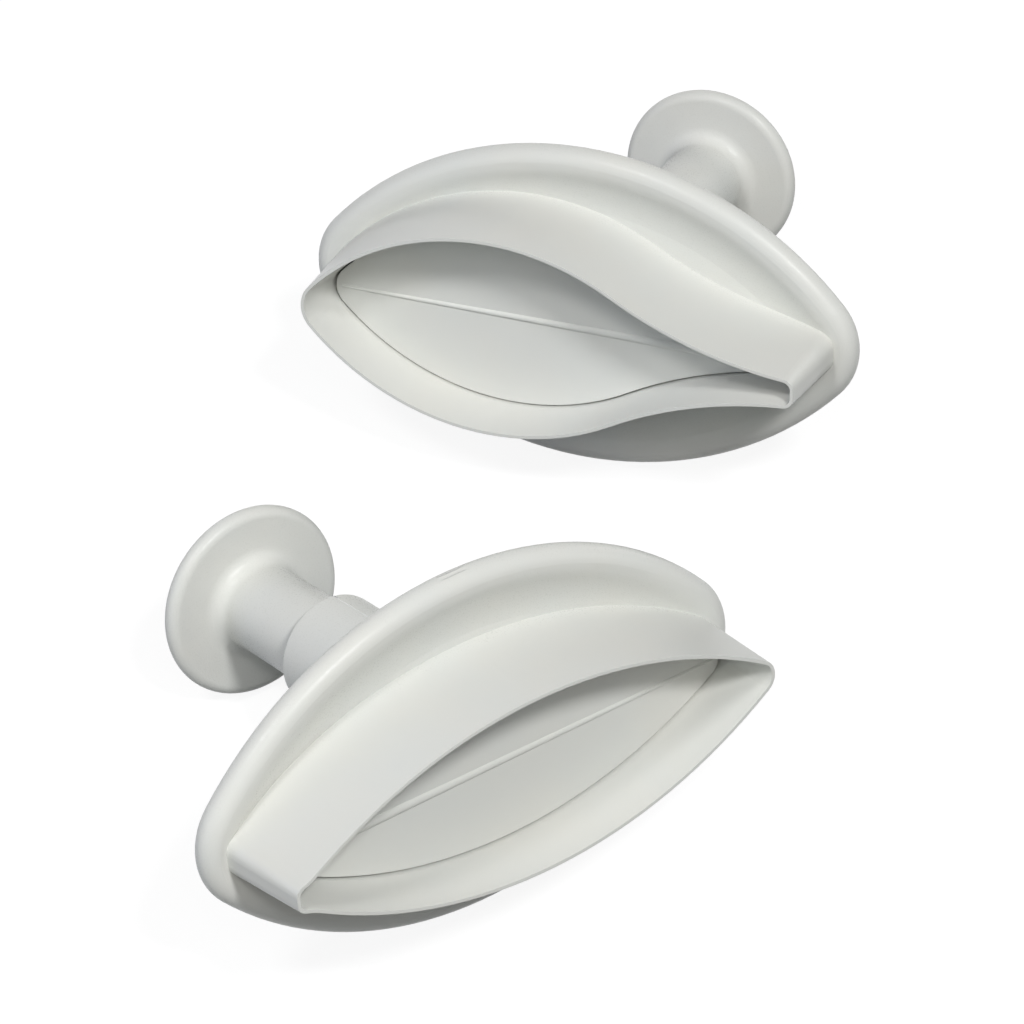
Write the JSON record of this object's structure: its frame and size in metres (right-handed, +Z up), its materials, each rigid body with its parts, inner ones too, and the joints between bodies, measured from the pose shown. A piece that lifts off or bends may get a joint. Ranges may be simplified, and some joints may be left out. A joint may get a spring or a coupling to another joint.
{
  "type": "plunger cutter",
  "caption": "Pair of petal-shaped sprung plunger cutters in satin white plastic: thin-edged petal wall on a dished flange, veined ejector plate, collar and round press knob.",
  "frame": {"origin": "On the worktop, under the middle of the lying pair's box", "axes": "+X to the right of the picture, +Y away from the viewer, from the narrow cutter to the waisted one, +Z up from the worktop"},
  "size_m": [0.1132, 0.2056, 0.0559],
  "materials": {
    "white_plastic": "satin moulded",
    "spring_steel": "drawn wire"
  },
  "bodies": {
    "cutters": {"narrow_cutter_body": "white_plastic", "narrow_return_spring": "spring_steel", "waisted_cutter_body": "white_plastic", "waisted_return_spring": "spring_steel"},
    "narrow_plunger": {"narrow_embosser": "white_plastic", "narrow_plunger_knob": "white_plastic"},
    "waisted_plunger": {"waisted_embosser": "white_plastic", "waisted_plunger_knob": "white_plastic"}
  },
  "joints": [
    {"name": "narrow_press", "type": "slide", "parent": "cutters", "child": "narrow_plunger", "axis": [0.5914, -0.7791, 0.208], "range_m": [0, 0.011], "stiffness_N_per_m": 250, "springref_m": -0.008, "deforming": ["narrow_return_spring"]},
    {"name": "waisted_press", "type": "slide", "parent": "cutters", "child": "waisted_plunger", "axis": [-0.4134, -0.8865, 0.208], "range_m": [0, 0.011], "stiffness_N_per_m": 250, "springref_m": -0.008, "deforming": ["waisted_return_spring"]}
  ]
}
